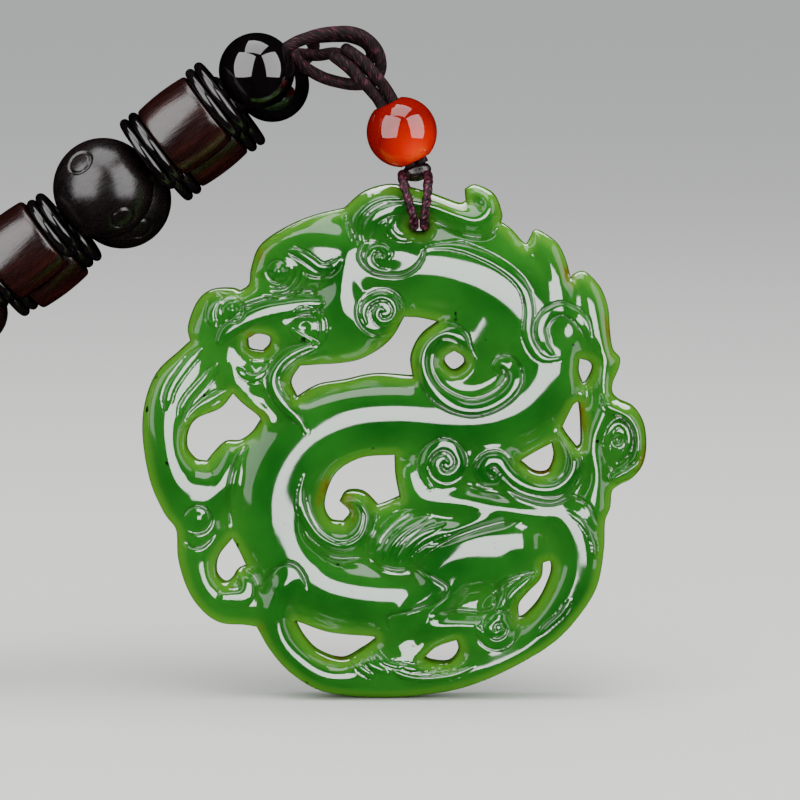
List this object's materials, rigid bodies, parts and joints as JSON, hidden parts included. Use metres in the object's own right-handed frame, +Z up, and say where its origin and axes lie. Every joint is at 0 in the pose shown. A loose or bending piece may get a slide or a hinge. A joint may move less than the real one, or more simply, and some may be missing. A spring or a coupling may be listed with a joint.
{
  "type": "jade pendant necklace",
  "caption": "Pierced green jade pendant carved as a coiled dragon, hung by a thin cord under a red bead from a doubled loop on a necklace of dark beads, barrels and spacer discs.",
  "frame": {"origin": "top centre of the necklace cord's arch, the point that the whole piece hangs from", "axes": "+Z up, the carving's front face towards -Y, the two bead strands run down towards -X"},
  "size_m": [0.2577, 0.1084, 0.077],
  "materials": {
    "green_jade": "polished, glossy and slightly translucent",
    "thin_braid": "fine maroon braid with pale flecks",
    "knot_cord": "dark waxed cord",
    "red_agate": "polished, glossy",
    "thick_cord": "fuzzy maroon cord",
    "onyx": "polished, glossy",
    "black_disc": "polished",
    "red_brown_wood": "oiled, satin",
    "black_carved_bead": "polished, satin, engraved",
    "dark_wood_bead": "oiled, satin"
  },
  "bodies": {
    "hanger": {"hanging_cord": "thin_braid", "cord_knot": "knot_cord", "red_bead": "red_agate", "pendant_loop": "thick_cord", "necklace_cord": "thick_cord", "front_onyx_bead": "onyx", "front_disc_1": "black_disc", "front_disc_2": "black_disc", "front_barrel_1": "red_brown_wood", "front_disc_3": "black_disc", "front_disc_4": "black_disc", "front_big_bead": "black_carved_bead", "front_disc_5": "black_disc", "front_disc_6": "black_disc", "front_barrel_2": "red_brown_wood", "front_disc_7": "black_disc", "front_disc_8": "black_disc", "rear_onyx_bead": "onyx", "rear_disc_1": "black_disc", "rear_disc_2": "black_disc", "rear_barrel_1": "red_brown_wood", "rear_disc_3": "black_disc", "rear_disc_4": "black_disc", "rear_big_bead": "black_carved_bead", "rear_disc_5": "black_disc", "rear_disc_6": "black_disc", "rear_barrel_2": "red_brown_wood", "rear_disc_7": "black_disc", "rear_disc_8": "black_disc", "front_plain_beads": "dark_wood_bead", "rear_plain_beads": "dark_wood_bead"},
    "carving": {"jade_dragon": "green_jade"}
  },
  "joints": [
    {"name": "pendant_swing", "type": "hinge", "parent": "hanger", "child": "carving", "pos_m": [0.00847, 0.0015, -0.02198], "axis": [0, 1, 0], "range_deg": [-12, 12]}
  ]
}
